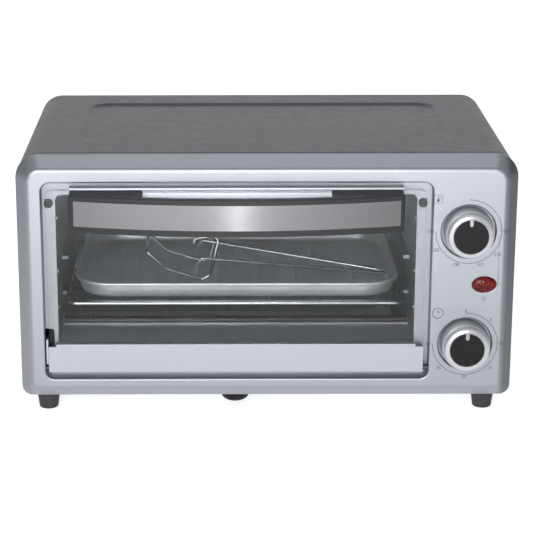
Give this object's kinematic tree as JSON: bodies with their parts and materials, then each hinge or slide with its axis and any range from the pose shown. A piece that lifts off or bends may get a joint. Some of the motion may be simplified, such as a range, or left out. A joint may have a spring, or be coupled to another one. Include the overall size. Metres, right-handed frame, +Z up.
{
  "type": "toaster oven",
  "caption": "Countertop toaster oven with a drop-down glass door, bowed handle, two dials, indicator lamp, wire rack, baking tray and tray lifter.",
  "frame": {"origin": "centre of the bounding box on the surface that the feet stand on", "axes": "+X to the right seen from the front, +Y from the door into the oven, +Z up"},
  "size_m": [0.365, 0.265, 0.2],
  "materials": {
    "bezel_paint": "satin silver paint",
    "cover_paint": "dark grey fine texture paint",
    "oven_steel": "plain aluminised sheet, smooth",
    "chrome_wire": "bright chromed wire",
    "heater_sheath": "heat-tinted sheath",
    "ceramic": "glazed ceramic",
    "zinc_screw": "zinc plated",
    "control_case": "moulded",
    "clockwork_case": "plain steel",
    "lens_red": "clear red lens",
    "lamp_glass": "neon lamp in a clear holder",
    "wire_insulation": "silicone insulation",
    "black_plastic": "moulded, fine grain",
    "black_rubber": "moulded rubber",
    "door_glass": "tempered clear glass",
    "rail_paint": "satin silver",
    "brushed_plate": "brushed lengthwise",
    "tray_steel": "plain steel, drawn",
    "knob_silver": "silver paint, satin",
    "knob_face_black": "semi gloss black"
  },
  "bodies": {
    "housing": {"front_panel": "bezel_paint", "oven_front_frame": "rail_paint", "outer_cover": "cover_paint", "base_plate": "oven_steel", "back_panel": "cover_paint", "cavity_left_wall": "oven_steel", "cavity_right_wall": "oven_steel", "cavity_ceiling": "oven_steel", "cavity_back_wall": "oven_steel", "sill_plate": "oven_steel", "upper_heaters": "heater_sheath", "lower_heaters": "heater_sheath", "heater_insulators": "ceramic", "thermostat": "control_case", "timer": "clockwork_case", "timer_bell": "chrome_wire", "control_screws": "zinc_screw", "indicator_lens": "lens_red", "indicator_lamp": "lamp_glass", "terminal_block": "control_case", "internal_wires": "wire_insulation", "cord_gland": "black_plastic", "front_feet": "black_rubber", "rear_feet": "black_rubber", "foot_screws": "zinc_screw", "base_screws": "zinc_screw", "back_screws": "zinc_screw", "door_bumpers": "black_rubber", "frame_rivets": "zinc_screw", "hinge_brackets": "oven_steel", "door_spring": "zinc_screw", "crumb_hinge_rod": "zinc_screw", "crumb_hinge_brackets": "oven_steel"},
    "door": {"door_glass": "door_glass", "door_bottom_rail": "rail_paint", "door_top_trim": "rail_paint", "handle_grip": "black_plastic", "handle_plate": "brushed_plate", "handle_screws": "zinc_screw", "hinge_pins": "zinc_screw", "door_arm": "zinc_screw"},
    "rack": {"wire_rack": "chrome_wire"},
    "tray": {"baking_tray": "tray_steel"},
    "lifter": {"tray_lifter": "chrome_wire"},
    "temperature_dial": {"temperature_knob": "knob_silver", "temperature_knob_face": "knob_face_black", "temperature_pointer": "knob_silver", "temperature_shaft": "zinc_screw"},
    "timer_dial": {"timer_knob": "knob_silver", "timer_knob_face": "knob_face_black", "timer_pointer": "knob_silver", "timer_shaft": "zinc_screw"},
    "crumb_door": {"crumb_tray": "oven_steel", "crumb_tray_knob": "black_plastic", "crumb_knob_screw": "zinc_screw"}
  },
  "joints": [
    {"name": "door_hinge", "type": "hinge", "parent": "housing", "child": "door", "pos_m": [0, -0.1005, 0.039], "axis": [1, 0, 0], "range_deg": [0, 90]},
    {"name": "rack_slide", "type": "slide", "parent": "housing", "child": "rack", "axis": [0, -1, 0], "range_m": [0, 0.105]},
    {"name": "tray_lift", "type": "slide", "parent": "rack", "child": "tray", "axis": [0, 0, 1], "range_m": [0, 0.015]},
    {"name": "lifter_lift", "type": "slide", "parent": "tray", "child": "lifter", "axis": [0, 0, 1], "range_m": [0, 0.015]},
    {"name": "temperature_turn", "type": "hinge", "parent": "housing", "child": "temperature_dial", "pos_m": [0.1465, -0.1045, 0.1442], "axis": [0, 1, 0], "range_deg": [0, 270]},
    {"name": "timer_turn", "type": "hinge", "parent": "housing", "child": "timer_dial", "pos_m": [0.1465, -0.1045, 0.0584], "axis": [0, 1, 0], "range_deg": [0, 270]},
    {"name": "crumb_tray_hinge", "type": "hinge", "parent": "housing", "child": "crumb_door", "pos_m": [0, 0.0985, 0.0142], "axis": [1, 0, 0], "range_deg": [0, 75]}
  ],
  "couplings": [
    {"joint": "rack_slide", "follows": "door_hinge", "m_per_rad": 0.0668}
  ]
}
